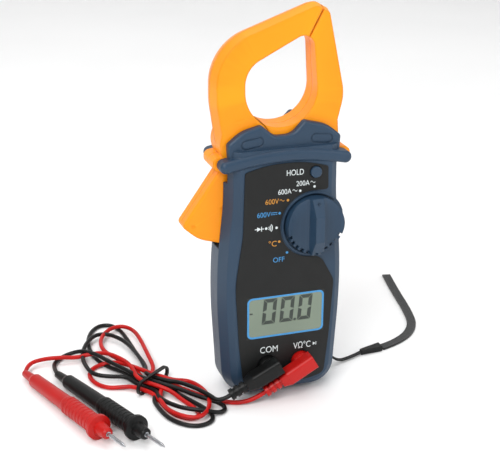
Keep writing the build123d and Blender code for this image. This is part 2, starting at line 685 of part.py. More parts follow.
FLOOR_LEAD = LEAD_R + 0.03      # height of a lead's axis on the table
HANK_HEIGHT = 5.6
HANK = [(-56, 17), (-45, 6), (-41, -8), (-34.5, -24), (-50, -40), (-70, -28), (-70, 2), (-76, 10),
        (-97, 14), (-99, 50), (-91, 88), (-76, 101), (-60, 90), (-58.5, 40)]
HANK_R = [6, 10, 15, 7, 14, 12, 12, 6, 10, 25, 25, 12, 12, 20]
TIE = (-65.5, 13.5)             # twist tie round the hank
TIE_WAY = (-0.64, 0.77, 0)      # the hank's direction at the tie


def lead_hank():
    """The outer shape of the two leads' tied loops."""
    corners = [(x, y, 0.03) for x, y in HANK]
    face = make_face(FilletPolyline(*corners, radius=HANK_R, close=True).edges())
    hank = extrude(face, amount=HANK_HEIGHT, dir=(0, 0, 1))
    hank = fillet(hank.edges().group_by(Axis.Z)[-1], 1.5) - twist_tie()
    for colour in ("black", "red"):
        hank = hank - lead_from_plug(colour) - lead_to_probe(colour)
    return solid_of(hank)


def twist_tie():
    """The wire loop round the hank."""
    plane = Plane(origin=(*TIE, 4.2), x_dir=(TIE_WAY[1], -TIE_WAY[0], 0), z_dir=TIE_WAY)
    return extrude(plane * (SlotOverall(28.0, 8.2) - SlotOverall(25.6, 5.8)), amount=0.9, both=True)


def lead_from_plug(colour):
    """The stretch of lead between a plug and the hank."""
    start, way = plug_end(colour)
    first = start + way * (12.5 if colour == "black" else 9.0)
    runs = {"black": [(-50, 2, FLOOR_LEAD), (-54, 13.5, FLOOR_LEAD)],
            "red": [(-33, -17.5, FLOOR_LEAD), (-42.5, -7.5, FLOOR_LEAD)]}
    return cord([tuple(start), tuple(first)] + runs[colour], LEAD_R, colour + " lead, plug to hank")


def lead_to_probe(colour):
    """The stretch of lead between the hank and a probe."""
    runs = {"black": [(-95.5, 62.5, FLOOR_LEAD), (-106, 64.5, FLOOR_LEAD), (-115.5, 52.5, FLOOR_LEAD + 0.5)],
            "red": [(-98, 52.5, FLOOR_LEAD), (-107, 55.6, 4.4), (-119, 57.5, 4.4), (-128.5, 54.5, 4.4)]}
    return cord(runs[colour] + [(*PROBE_BACK[colour], PROBE_Z)], LEAD_R, colour + " lead, hank to probe")


# ---------------------------------------------------------------- wrist strap
STRAP_PATH = [(73.0, 17.5), (88, 22), (104, 38), (110.5, 62), (115.5, 90), (121, 115)]
STRAP_WIDTH = 5.5
STRAP_THICK = 1.6


def strap_cord():
    """The doubled thin cord from the case's corner to the ferrule."""
    strands = []
    for s in (-0.7, 0.7):
        points = [(29.5, 7.5 + s, 9.0), (34.5, 7.5 + s, 8.4), (41.5, 8.0 + s, 1.6)]
        points += [(50.5, 10.6 + s, 1.4), (58.6, 14.4 + s, 1.6)]
        strands.append(cord(points, STRAP_CORD_R, "strap cord"))
    return strands


def strap_ferrule():
    """The moulded sleeve that joins the thin cord to the flat strap."""
    sleeve = loft([
        Plane(origin=(58.6, 14.4, 1.75), x_dir=(0, 1, 0), z_dir=(1, 0, 0)) * RectangleRounded(3.2, 2.8, 0.6),
        Plane(origin=(72.2, 17.1, 1.75), x_dir=(0, 1, 0), z_dir=(1, 0, 0)) * RectangleRounded(6.4, 3.2, 0.6),
    ], ruled=True)
    return sleeve


def wrist_strap():
    """The flat strap, lying on the table."""
    points = [Vector(x, y, STRAP_THICK / 2 + 0.05) for x, y in STRAP_PATH]
    path = FilletPolyline(*points, radius=18)
    section = Plane(origin=path @ 0, z_dir=path % 0, x_dir=(0, 0, 1)) * Rectangle(STRAP_THICK, STRAP_WIDTH)
    return sweep(section, path=path)


# ---------------------------------------------------------------- all the pieces
def main():
    """Write every node."""
    write("front_case", front_case())
    write("rear_case", rear_case())
    write("face_panel", face_panel())
    write("display_lens", display_lens())
    write("lcd_glass", lcd_glass())
    write("lcd_holder", lcd_holder())
    write("zebra_strips", *zebra_strips())
    write("main_board", main_board())
    write("board_parts", *board_parts())
    write("board_screws", *board_screws())
    write("buzzer", buzzer())
    write("case_screws", *case_screws())
    for name, x in JACKS:
        write(f"{name}_jack_housing", jack_housing(x))
        write(f"{name}_jack_contact", jack_contact(x))
    write("battery_tray", battery_tray())
    write("batteries", *batteries())
    write("battery_contacts", *battery_contacts())
    write("battery_door", battery_door())
    write("battery_door_screw", battery_door_screw())
    for name, side in (("front", -1), ("rear", 1)):
        write(f"moving_jaw_{name}", moving_jaw(side))
        write(f"fixed_jaw_{name}", fixed_jaw(side))
    write("moving_core", moving_core())
    write("fixed_core", fixed_core())
    write("pickup_coil", pickup_coil())
    write("jaw_pivot_pin", jaw_pivot_pin())
    write("trigger_spring", trigger_spring())
    write("selector_knob", selector_knob())
    write("knob_rotor", knob_rotor())
    write("wiper_contacts", *wiper_contacts())
    write("hold_button", hold_button())
    write("hold_switch", hold_switch())
    for colour in ("black", "red"):
        write(f"{colour}_plug", plug_body(colour))
        write(f"{colour}_plug_pin", plug_pin(colour))
        write(f"{colour}_lead_from_plug", lead_from_plug(colour))
        write(f"{colour}_lead_to_probe", lead_to_probe(colour))
        write(f"{colour}_probe_handle", probe_handle(colour))
        write(f"{colour}_probe_tip", probe_tip(colour))
    write("lead_hank", lead_hank())
    write("twist_tie", twist_tie())
    write("strap_cord", *strap_cord())
    write("strap_ferrule", strap_ferrule())
    write("wrist_strap", wrist_strap())


main()
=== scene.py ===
import json
from math import cos, pi, radians, sin

import bmesh
import bpy
from mathutils import Matrix, Vector


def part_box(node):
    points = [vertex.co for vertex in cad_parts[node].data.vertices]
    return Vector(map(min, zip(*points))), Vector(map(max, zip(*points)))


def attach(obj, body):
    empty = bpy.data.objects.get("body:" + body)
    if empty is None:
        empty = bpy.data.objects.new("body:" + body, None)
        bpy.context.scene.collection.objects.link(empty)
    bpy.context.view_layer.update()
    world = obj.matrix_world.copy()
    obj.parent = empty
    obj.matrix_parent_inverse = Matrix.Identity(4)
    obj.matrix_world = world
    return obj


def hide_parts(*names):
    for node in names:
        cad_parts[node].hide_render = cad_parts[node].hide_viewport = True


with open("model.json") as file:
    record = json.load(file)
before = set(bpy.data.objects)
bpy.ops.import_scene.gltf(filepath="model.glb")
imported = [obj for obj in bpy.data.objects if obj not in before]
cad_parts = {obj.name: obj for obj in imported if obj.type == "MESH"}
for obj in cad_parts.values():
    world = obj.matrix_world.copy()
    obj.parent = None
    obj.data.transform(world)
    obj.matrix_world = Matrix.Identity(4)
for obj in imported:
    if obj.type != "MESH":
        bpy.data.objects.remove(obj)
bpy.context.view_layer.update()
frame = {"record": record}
MM = 0.001


def mm(*point):
    """A point in millimetres, as metres."""
    return Vector([v * MM for v in point])


# ---------------------------------------------------------------- camera
CAMERA_PLACE = (-199.2, -549.0, 313.9)
CAMERA_AIM = (-14.45, 0, 92.7)
CAMERA_ROLL = 0.35      # degrees
LENS, SENSOR = 85.2, 36.0


def make_camera():
    """The camera: to the left of the meter's face and above it."""
    camera = bpy.data.objects.new("camera", bpy.data.cameras.new("camera"))
    bpy.context.collection.objects.link(camera)
    place, aim = mm(*CAMERA_PLACE), mm(*CAMERA_AIM)
    roll = Matrix.Rotation(radians(CAMERA_ROLL), 3, "Z").to_quaternion()
    turn = (aim - place).to_track_quat("-Z", "Y") @ roll
    camera.matrix_world = Matrix.Translation(place) @ turn.to_matrix().to_4x4()
    camera.data.lens = LENS
    camera.data.sensor_width = SENSOR
    camera.data.clip_start = 0.01
    bpy.context.scene.camera = camera


make_camera()


def mesh_object(name, mesh):
    """A new object from the faces drawn so far, which are turned to face outwards."""
    bmesh.ops.recalc_face_normals(mesh, faces=mesh.faces)
    data = bpy.data.meshes.new(name)
    mesh.to_mesh(data)
    mesh.free()
    piece = bpy.data.objects.new(name, data)
    bpy.context.collection.objects.link(piece)
    return piece


# ---------------------------------------------------------------- cords
LEAD = 2.4              # lead's diameter
TIE = (-65.5, 13.5)     # middle of the twist tie
TIE_WAY = (-0.64, 0.77) # the hank's direction there, towards the long loops


def at_tie(across, along, z):
    """A point near the tie: across the hank, along it, and the height."""
    x = TIE[0] + TIE_WAY[1] * across + TIE_WAY[0] * along
    y = TIE[1] - TIE_WAY[0] * across + TIE_WAY[1] * along
    return (x, y, z)


BLACK_ROUTE = [
    # from the plug over the short loops to the tie
    (-32.3, -22, 7.8), (-38.5, -22, 4.8), (-42, -15, 6.2), (-46.5, -6, 6.2), (-53, 5, 5.4),
    at_tie(2, -7, 5.0), at_tie(2, 7, 5.0),
    # long outer loop
    (-64.5, 33, 3.0), (-65.5, 52, 1.3), (-66.5, 76, 1.3), (-68.5, 90, 1.3), (-73.5, 96, 1.3),
    (-80.5, 95, 1.3),
    (-87, 85, 1.3), (-90.5, 70, 1.3), (-89.5, 53, 1.3), (-84.5, 41, 1.5), (-77, 30, 2.2),
    at_tie(-3, 7, 2.6), at_tie(-3, -7, 2.6),
    # first short loop
    (-69.5, -2, 1.3), (-69, -13, 1.3), (-66.5, -25, 1.3), (-60, -34, 1.3), (-52.5, -37, 1.3),
    (-45.5, -34, 1.3),
    (-43.5, -27, 1.3), (-46.5, -18, 1.3), (-51.5, -8, 1.3), (-57, 1, 2.0),
    at_tie(5, -7, 2.6), at_tie(5, 7, 2.6),
    # long inner loop
    (-65.5, 38, 3.7), (-67, 55, 3.7), (-70, 68, 3.7), (-76, 78, 3.7), (-83.5, 80, 3.7), (-91, 71, 3.7),
    (-96, 59, 3.2), (-97.6, 45, 3.7), (-95.5, 31, 3.7), (-87, 25.5, 3.7), (-78, 24, 3.2),
    at_tie(-6, 7, 2.6), at_tie(-6, -7, 2.6),
    # second short loop
    (-67, -5, 3.7), (-63.5, -14, 4.0), (-57, -22.5, 4.4), (-48, -26.5, 4.0), (-40, -28, 1.8),
    (-35.6, -25, 1.5),
    (-36, -19.5, 2.0), (-43, -15, 3.9), (-48.5, -8.5, 3.9), (-54.5, -0.5, 4.4),
    at_tie(-2, -7, 5.0), at_tie(-2, 7, 5.0),
    # to the probe
    (-78.5, 29, 5.6), (-85, 40, 6.1), (-90, 51, 6.1), (-96, 60.5, 4.4), (-105, 63.5, 1.4),
    (-112.8, 55.5, 1.6),
    (-114.2, 45.5, 2.5), (-113.7, 37.4, 3.5),
]
RED_ROUTE = [
    # from the plug along the table to the tie
    (-12.7, -22, 6.6), (-18.5, -22, 3.4), (-26, -20.5, 1.5), (-33.5, -17, 1.3), (-40, -10.5, 1.3),
    (-47, -2, 1.4),
    (-55, 7.5, 2.2), at_tie(8, -5, 2.6), at_tie(8, 7, 2.6),
    # long loop
    (-60.7, 30, 3.2), (-60.5, 46, 3.7), (-60, 64, 3.7), (-60.7, 78, 3.7), (-65, 86, 3.7), (-72, 86.5, 3.7),
    (-79.5, 79, 3.7), (-83.7, 68, 3.7), (-83.6, 56, 3.7), (-77.5, 44, 3.7), (-71, 32, 3.2),
    at_tie(0, 7, 2.6), at_tie(0, -7, 2.6),
    # short loop
    (-65.5, -1, 3.4), (-67, -12, 3.6), (-65, -21.5, 3.6), (-59, -29.5, 3.6), (-52.5, -32.5, 3.6),
    (-47, -28, 3.6),
    (-42.8, -20, 3.7), (-41.2, -9, 3.7), (-43, 1, 3.7), (-47.5, 8.5, 3.6), (-54, 9.5, 4.2),
    at_tie(4.7, -6, 5.0), at_tie(4.7, 7, 5.0),
    # low loop on the far side
    (-72, 31, 4.8), (-80, 41, 4.2), (-87, 45, 2.0), (-93.5, 42.5, 1.3), (-97, 35, 1.3), (-95.7, 25, 1.3),
    (-90, 17.5, 1.3), (-82, 15.5, 1.6), at_tie(-9, 7, 2.4), at_tie(-9, -6, 2.4),
    # turn on the table inside the short loops
    (-66.5, -4, 1.3), (-65.3, -14, 1.3), (-62, -23.5, 1.3), (-55.5, -29, 1.3), (-49.7, -26, 1.3),
    (-50.7, -18, 1.3), (-55, -8, 1.6), (-58.8, 0.5, 3.2),
    at_tie(-5, -7, 5.0), at_tie(-5, 7, 5.0),
    # to the probe
    (-73.5, 30, 6.1), (-77.5, 41, 6.1), (-84, 50.5, 6.1), (-92, 54.5, 4.4), (-100, 54.5, 3.2),
    (-108, 55.6, 4.2),
    (-119, 57, 4.2), (-128.3, 53.5, 4.0), (-130.6, 44.1, 3.5),
]


def cord_curve(name, route, diameter):
    """A cord as one NURBS spline whose control points are the route's points, in millimetres."""
    data = bpy.data.curves.new(name, "CURVE")
    data.dimensions = "3D"
    data.bevel_depth = 1.0              # scaled by the points' radii, which also keeps the bounds tight
    data.bevel_resolution = 4
    data.resolution_u = 6
    spline = data.splines.new("NURBS")
    spline.points.add(len(route) - 1)
    for point, place in zip(spline.points, route):
        point.co = (*mm(*place), 1.0)
        point.radius = diameter * MM / 2
    spline.order_u = 3
    spline.use_endpoint_u = True
    piece = bpy.data.objects.new(name, data)
    bpy.context.collection.objects.link(piece)
    return piece


def centre_line(piece):
    """The points of a cord's smooth line, in metres."""
    bare = piece.copy()
    bare.data = piece.data.copy()
    bare.data.bevel_depth = 0
    bpy.context.collection.objects.link(bare)
    bpy.context.view_layer.update()
    mesh = bpy.data.meshes.new_from_object(bare.evaluated_get(bpy.context.evaluated_depsgraph_get()))
    points = [v.co.copy() for v in mesh.vertices]
    bpy.data.objects.remove(bare)
    bpy.data.meshes.remove(mesh)
    return points


leads = {}
for colour, route in (("black", BLACK_ROUTE), ("red", RED_ROUTE)):
    lead = cord_curve(f"{colour}_lead", route, LEAD)
    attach(lead, "test_leads")
    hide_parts(f"{colour}_lead_from_plug", f"{colour}_lead_to_probe", "lead_hank")
    leads[colour] = lead

STRAND = 1.2            # thin strap cord's diameter
STRAND_ROUTE = [(29.5, 7.5, 9.0), (34.5, 7.5, 8.4), (41.5, 8.0, 1.6), (50.5, 10.6, 1.4), (58.6, 14.4, 1.6)]
strands = []
for number, aside in ((1, -0.7), (2, 0.7)):
    route = [(x, y + aside, z) for x, y, z in STRAND_ROUTE]
    strand = cord_curve(f"strap_strand_{number}", route, STRAND)
    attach(strand, "meter")
    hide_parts("strap_cord")
    strands.append(strand)

STRAP_WIDTH, STRAP_THICK = 5.5, 1.5
STRAP_ROUTE = [(73.0, 17.5, 0.85), (88, 22, 0.85), (104, 38, 0.85), (110.5, 62, 0.85), (115.5, 90, 0.85),
               (121, 115, 0.85)]


def strap_ribbon(points):
    """The flat strap: a woven ribbon with raised edges, swept along its line."""
    half, thick = STRAP_WIDTH / 2 * MM, STRAP_THICK / 2 * MM
    profile = [(-1, -0.5), (-0.9, -1), (-0.75, -0.86), (0.75, -0.86), (0.9, -1), (1, -0.5),
               (1, 0.5), (0.9, 1), (0.75, 0.86), (-0.75, 0.86), (-0.9, 1), (-1, 0.5)]
    mesh = bmesh.new()
    rings = []
    for i, point in enumerate(points):
        way = (points[min(i + 1, len(points) - 1)] - points[max(i - 1, 0)]).normalized()
        side = way.cross(Vector((0, 0, 1))).normalized()
        corners = [point + side * a * half + Vector((0, 0, b * thick)) for a, b in profile]
        rings.append([mesh.verts.new(corner) for corner in corners])
    for one, two in zip(rings, rings[1:]):
        for i in range(len(profile)):
            j = (i + 1) % len(profile)
            mesh.faces.new((one[i], one[j], two[j], two[i]))
    mesh.faces.new(rings[0][::-1])
    mesh.faces.new(rings[-1])
    return mesh_object("strap_ribbon", mesh)


guide = cord_curve("strap_guide", STRAP_ROUTE, 1.0)
strap_line = centre_line(guide)
bpy.data.objects.remove(guide)
strap = strap_ribbon(strap_line)
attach(strap, "meter")
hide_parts("wrist_strap")


# ---------------------------------------------------------------- materials
def srgb(code):
    """A colour code as linear values."""
    parts = [int(code[i:i + 2], 16) / 255 for i in (1, 3, 5)]
    return (*[p / 12.92 if p <= 0.04045 else ((p + 0.055) / 1.055) ** 2.4 for p in parts], 1.0)


def tint(colour, factor):
    """A colour made lighter or darker."""
    return (*[min(1.0, c * factor) for c in colour[:3]], 1.0)


class Surface:
    """A material under construction: its nodes, links and main shader."""

    def __init__(self, name, rough, metallic=0.0, coat=0.0, specular=0.5):
        self.material = bpy.data.materials.new(name)
        self.material.use_nodes = True
        self.tree = self.material.node_tree
        self.shader = self.tree.nodes["Principled BSDF"]
        self.shader.inputs["Roughness"].default_value = rough
        self.shader.inputs["Metallic"].default_value = metallic
        self.shader.inputs["Coat Weight"].default_value = coat
        self.shader.inputs["Specular IOR Level"].default_value = specular
        self.place = self.tree.nodes.new("ShaderNodeTexCoord").outputs["Object"]

    def node(self, kind, **values):
        """A new node, with its inputs set by name."""
        made = self.tree.nodes.new(kind)
        for key, value in values.items():
            made.inputs[key.replace("_", " ")].default_value = value
        return made

    def link(self, a, b):
        """One link."""
        self.tree.links.new(a, b)

    def noise(self, scale, detail=3.0, rough=0.55, stretch=None):
        """Noise over the object's own coordinates, per metre, with an optional stretch."""
        noise = self.node("ShaderNodeTexNoise", Scale=scale, Detail=detail, Roughness=rough)
        if stretch:
            mapping = self.node("ShaderNodeMapping")
            mapping.inputs["Scale"].default_value = stretch
            self.link(self.place, mapping.inputs["Vector"])
            self.link(mapping.outputs["Vector"], noise.inputs["Vector"])
        else:
            self.link(self.place, noise.inputs["Vector"])
        return noise.outputs["Fac"]

    def ramp(self, source, stops):
        """A colour ramp over a value."""
        ramp = self.tree.nodes.new("ShaderNodeValToRGB")
        elements = ramp.color_ramp.elements
        while len(elements) < len(stops):
            elements.new(0.5)
        for element, (place, colour) in zip(elements, stops):
            element.position = place
            element.color = colour
        self.link(source, ramp.inputs["Fac"])
        return ramp.outputs["Color"]

    def blend(self, factor, a, b):
        """Two colours mixed by a value."""
        mix = self.tree.nodes.new("ShaderNodeMix")
        mix.data_type = "RGBA"
        self.link(factor, mix.inputs[0])
        for value, socket in ((a, mix.inputs[6]), (b, mix.inputs[7])):
            if isinstance(value, tuple):
                socket.default_value = value
            else:
                self.link(value, socket)
        return mix.outputs[2]

    def colour(self, source):
        """The surface's colour."""
        self.link(source, self.shader.inputs["Base Color"])

    def bumps(self, *heights, soft=0.0):
        """Stacked bumps, each (height, distance in metres, strength), over edges softened by a radius."""
        normal = None
        if soft:
            normal = self.node("ShaderNodeBevel", Radius=soft).outputs["Normal"]
        for height, distance, strength in heights:
            bump = self.node("ShaderNodeBump", Distance=distance, Strength=strength)
            self.link(height, bump.inputs["Height"])
            if normal:
                self.link(normal, bump.inputs["Normal"])
            normal = bump.outputs["Normal"]
        self.link(normal, self.shader.inputs["Normal"])

    def roughness(self, source, low, high):
        """Roughness that varies between two values."""
        spread = self.node("ShaderNodeMapRange")
        spread.inputs["To Min"].default_value = low
        spread.inputs["To Max"].default_value = high
        self.link(source, spread.inputs["Value"])
        self.link(spread.outputs["Result"], self.shader.inputs["Roughness"])

    def painted_edge_highlight(self, base, lighter, amount=0.58):
        """A colour with a painted highlight: it lightens a little along sharp edges."""
        edge = self.tree.nodes.new("ShaderNodeNewGeometry").outputs["Pointiness"]
        mask = self.ramp(edge, [(amount, (0, 0, 0, 1)), (amount + 0.12, (1, 1, 1, 1))])
        return self.blend(mask, base, lighter)


def moulded(name, code, rough=0.42, grain=0.5, coat=0.0, vary=0.07, soft=0.0005, specular=0.5):
    """Moulded plastic: fine spark-eroded grain, slight mottling, and a painted highlight that lightens its
    edges.
    """
    base = srgb(code)
    s = Surface(name, rough, coat=coat, specular=specular)
    mottle = s.ramp(s.noise(45, 4), [(0.3, tint(base, 1 - vary)), (0.7, tint(base, 1 + vary))])
    # painted highlight: the sharp edges are painted a quarter lighter than the mottled base colour
    s.colour(s.painted_edge_highlight(mottle, tint(base, 1.25)))
    s.roughness(s.noise(90, 3), rough - 0.06, rough + 0.08)
    s.bumps((s.noise(2600, 2), 0.00004, grain), (s.noise(60, 2), 0.0001, 0.12), soft=soft)
    return s.material


def metal(name, code, rough, stretch):
    """Bright metal with fine drawn lines."""
    base = srgb(code)
    s = Surface(name, rough, metallic=1.0)
    s.colour(s.ramp(s.noise(160, 4), [(0.3, tint(base, 0.85)), (0.7, base)]))
    lines = s.noise(900, 2, stretch=stretch)
    s.roughness(lines, rough - 0.05, rough + 0.1)
    s.bumps((lines, 0.00002, 0.4))
    return s.material


def cable(name, code):
    """Soft insulation: faint dust, small ripples along its length."""
    base = srgb(code)
    s = Surface(name, 0.4, specular=0.3)
    s.colour(s.ramp(s.noise(140, 5), [(0.35, tint(base, 0.85)), (0.75, tint(base, 1.18))]))
    s.roughness(s.noise(300, 3), 0.3, 0.5)
    s.bumps((s.noise(1500, 2), 0.00004, 0.35), (s.noise(120, 2), 0.0002, 0.2))
    return s.material


def woven(name, code):
    """Tight woven tape."""
    base = srgb(code)
    s = Surface(name, 0.85, specular=0.25)
    s.shader.inputs["Sheen Weight"].default_value = 0.3
    waves = []
    for direction in ("X", "Y"):
        wave = s.node("ShaderNodeTexWave", Scale=420.0, Distortion=0.6)
        wave.bands_direction = direction
        s.link(s.place, wave.inputs["Vector"])
        waves.append(wave.outputs["Fac"])
    weave = s.blend(waves[0], (0, 0, 0, 1), waves[1])
    s.colour(s.blend(weave, tint(base, 0.6), tint(base, 1.7)))
    s.bumps((weave, 0.00015, 0.8), (s.noise(3000, 2), 0.00003, 0.5))
    return s.material


def printed(name, code):
    """Screen-printed ink: slightly uneven and matt."""
    base = srgb(code)
    s = Surface(name, 0.55)
    s.colour(s.ramp(s.noise(900, 3), [(0.25, tint(base, 0.82)), (0.6, base)]))
    s.bumps((s.noise(4000, 2), 0.00001, 0.3))
    return s.material


def panel_film(name, code):
    """The face's printed film: finely textured and nearly black."""
    base = srgb(code)
    s = Surface(name, 0.5, specular=0.3)
    s.colour(s.ramp(s.noise(70, 4), [(0.3, tint(base, 0.88)), (0.7, tint(base, 1.15))]))
    cells = s.node("ShaderNodeTexVoronoi", Scale=2200.0)
    s.link(s.place, cells.inputs["Vector"])
    s.roughness(s.noise(200, 3), 0.42, 0.56)
    s.bumps((cells.outputs["Distance"], 0.00003, 0.45))
    return s.material


def display(name, code):
    """The display under its window: grey-green, with faint mottling and a glossy surface."""
    base = srgb(code)
    s = Surface(name, 0.16, coat=0.6, specular=0.6)
    s.shader.inputs["Coat Roughness"].default_value = 0.06
    s.colour(s.ramp(s.noise(28, 2), [(0.3, tint(base, 0.9)), (0.7, tint(base, 1.08))]))
    s.bumps((s.noise(3200, 2), 0.000006, 0.25))
    return s.material


def windings(name, code):
    """Enamelled copper wire, wound close."""
    base = srgb(code)
    s = Surface(name, 0.3, metallic=0.8, coat=0.4)
    wave = s.node("ShaderNodeTexWave", Scale=800.0, Distortion=0.4)
    wave.bands_direction = "Z"
    s.link(s.place, wave.inputs["Vector"])
    s.colour(s.blend(wave.outputs["Fac"], tint(base, 0.5), base))
    s.bumps((wave.outputs["Fac"], 0.0001, 0.8))
    return s.material


def circuit(name, code):
    """Solder mask with faint tracks under it."""
    base = srgb(code)
    s = Surface(name, 0.3, coat=0.3)
    tracks = s.node("ShaderNodeTexBrick", Scale=240.0)
    tracks.inputs["Color1"].default_value = tint(base, 1.0)
    tracks.inputs["Color2"].default_value = tint(base, 1.25)
    tracks.inputs["Mortar"].default_value = tint(base, 0.7)
    s.link(s.place, tracks.inputs["Vector"])
    s.colour(tracks.outputs["Color"])
    s.bumps((tracks.outputs["Fac"], 0.00003, 0.4))
    return s.material


MATERIALS = {
    "case_plastic": moulded("case_plastic", "#243B51", rough=0.40, grain=0.55, soft=0.0009, specular=0.4),
    "jaw_plastic": moulded("jaw_plastic", "#F8940C", rough=0.38, grain=0.4, vary=0.03, soft=0.0018,
                           specular=0.3),
    "panel_print": panel_film("panel_print", "#151616"),
    "clear_window": display("clear_window", "#6F7E6C"),
    "display_glass": display("display_glass", "#6F7E6C"),
    "black_plastic": moulded("black_plastic", "#0E0F0F", rough=0.38, grain=0.5, specular=0.25),
    "black_rubber": cable("black_rubber", "#0D0D0D"),
    "board": circuit("board", "#1F5A36"),
    "steel": metal("steel", "#C2C4C8", 0.24, (1, 1, 0.05)),
    "brass": metal("brass", "#CFAE58", 0.28, (1, 0.05, 1)),
    "cell_wrap": moulded("cell_wrap", "#46525C", rough=0.3, grain=0.1, coat=0.3),
    "core_steel": metal("core_steel", "#80848A", 0.4, (1, 0.02, 1)),
    "copper_winding": windings("copper_winding", "#A8602F"),
    "red_plastic": moulded("red_plastic", "#B3120E", rough=0.36, grain=0.35, specular=0.35),
    "black_cable": cable("black_cable", "#0C0C0C"),
    "red_cable": cable("red_cable", "#BE0F0B"),
    "strap_fabric": woven("strap_fabric", "#121315"),
}
INKS = {
    "white": printed("ink_white", "#DCE4E5"),
    "orange": printed("ink_orange", "#C98A2B"),
    "blue": printed("ink_blue", "#3D8FCB"),
    "black": printed("ink_black", "#141815"),
    "segment": printed("ink_segment", "#343C36"),
}


def dress(piece, material):
    """Give a piece one material."""
    piece.data.materials.clear()
    piece.data.materials.append(material)


for part in frame["record"]["subparts"]:
    node = bpy.data.objects.get(part["node"])
    if node:
        for holder in node.material_slots:
            holder.material = MATERIALS[part["material_slot"]]
for colour, lead in leads.items():
    dress(lead, MATERIALS[f"{colour}_cable"])
for piece in strands + [strap]:
    dress(piece, MATERIALS["strap_fabric"])


# ---------------------------------------------------------------- printed marks
PANEL_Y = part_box("face_panel")[0][1]        # the panel's and the window's front
INK = 0.00004                               # thickness of the print
UPRIGHT = Matrix.Rotation(pi / 2, 4, "X")


def lettering(name, words, x, z, height, width, ink):
    """Words centred at x, z in millimetres, scaled to a cap height and a width."""
    data = bpy.data.curves.new(name, "FONT")
    data.body = words
    data.align_x = "CENTER"
    data.align_y = "CENTER"
    data.size = height * MM / 0.69
    data.extrude = INK / 2
    piece = bpy.data.objects.new(name, data)
    bpy.context.collection.objects.link(piece)
    bpy.context.view_layer.update()
    scale = Matrix.Diagonal((width * MM / piece.dimensions.x, 1, 1, 1))
    piece.matrix_world = Matrix.Translation((x * MM, PANEL_Y - INK / 2, z * MM)) @ UPRIGHT @ scale
    finish_print(piece, ink)


def raise_print(mesh, faces):
    """Give flat faces the print's thickness, towards the front."""
    made = bmesh.ops.extrude_face_region(mesh, geom=faces)
    moved = [v for v in made["geom"] if isinstance(v, bmesh.types.BMVert)]
    bmesh.ops.translate(mesh, verts=moved, vec=(0, -INK, 0))


def finish_print(piece, ink):
    """A printed piece gets its ink and rides on the panel."""
    dress(piece, INKS[ink])
    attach(piece, "meter")


def marks(name, outlines, ink):
    """Flat printed shapes, each a list of x, z corners in millimetres."""
    mesh = bmesh.new()
    for outline in outlines:
        face = mesh.faces.new([mesh.verts.new((x * MM, PANEL_Y, z * MM)) for x, z in outline])
        raise_print(mesh, [face])
    finish_print(mesh_object(name, mesh), ink)


def circle(x, z, r, count=24):
    """The corners of a round dot."""
    return [(x + r * cos(2 * pi * i / count), z + r * sin(2 * pi * i / count)) for i in range(count)]


def bar(x0, x1, z0, z1):
    """The corners of a rectangle."""
    return [(x0, z0), (x1, z0), (x1, z1), (x0, z1)]


def arc_band(x, z, r, thick, a0, a1, count=10):
    """The corners of an arc with a thickness."""
    angles = [radians(a0 + (a1 - a0) * i / count) for i in range(count + 1)]
    outer = [(x + (r + thick / 2) * cos(a), z + (r + thick / 2) * sin(a)) for a in angles]
    inner = [(x + (r - thick / 2) * cos(a), z + (r - thick / 2) * sin(a)) for a in reversed(angles)]
    return outer + inner


def wave_band(x, z, width, height, thick, count=14):
    """The corners of one sine wave, for alternating current."""
    steps = [i / count for i in range(count + 1)]
    line = [(x + width * (t - 0.5), z + height / 2 * sin(2 * pi * t)) for t in steps]
    return [(a, b + thick / 2) for a, b in line] + [(a, b - thick / 2) for a, b in reversed(line)]


def direct_marks(x, z):
    """A line over three dashes, for direct current."""
    dashes = [bar(x - 1.7 + 1.25 * i, x - 0.8 + 1.25 * i, z - 0.75, z - 0.4) for i in range(3)]
    return [bar(x - 1.7, x + 1.7, z + 0.2, z + 0.55)] + dashes


DIAL_X, DIAL_Z, DOT_R = 15.0, 97.2, 20.35
DOT_INKS = ("white", "white", "orange", "blue", "white", "orange", "blue")
for ink in ("white", "orange", "blue"):
    places = [radians(90 + 22.5 * k) for k, name in enumerate(DOT_INKS) if name == ink]
    dots = [circle(DIAL_X + DOT_R * cos(a), DIAL_Z + DOT_R * sin(a), 0.68) for a in places]
    marks(f"dial_dots_{ink}", dots, ink)

CAP = 2.7
lettering("range_200a", "200A", 8.6, 119.8, CAP, 7.2, "white")
lettering("range_600a", "600A", -1.2, 116.2, CAP, 7.2, "white")
lettering("range_600v_ac", "600V", -8.0, 111.5, CAP, 7.2, "orange")
lettering("range_600v_dc", "600V", -12.4, 104.8, CAP, 7.2, "blue")
WAVE = (2.6, 0.9, 0.35)     # width, height and thickness
marks("waves_white", [wave_band(14.0, 120.1, *WAVE), wave_band(4.3, 116.5, *WAVE)], "white")
marks("waves_orange", [wave_band(-2.6, 111.8, *WAVE)], "orange")
marks("direct_blue", direct_marks(-6.8, 105.2), "blue")
lettering("range_degrees", "°C", -7.4, 88.4, 3.0, 4.4, "orange")
lettering("range_off", "OFF", -3.9, 79.2, CAP, 6.2, "blue")
lettering("hold_label", "HOLD", 4.3, 126.0, 3.0, 9.2, "white")
lettering("com_label", "COM", -8.6, 28.0, 3.6, 9.9, "white")
lettering("volt_label", "VΩ°C", 10.2, 27.9, 3.6, 9.8, "white")
DIODE_X, DIODE_Z = -14.6, 97.4
diode = [[(DIODE_X - 1.3, DIODE_Z + 1.2), (DIODE_X - 1.3, DIODE_Z - 1.2), (DIODE_X + 0.9, DIODE_Z)],
         bar(DIODE_X + 0.9, DIODE_X + 1.3, DIODE_Z - 1.3, DIODE_Z + 1.3),
         bar(DIODE_X - 2.5, DIODE_X - 1.3, DIODE_Z - 0.2, DIODE_Z + 0.2),
         bar(DIODE_X + 1.3, DIODE_X + 2.4, DIODE_Z - 0.2, DIODE_Z + 0.2),
         circle(-11.0, DIODE_Z, 0.7)]
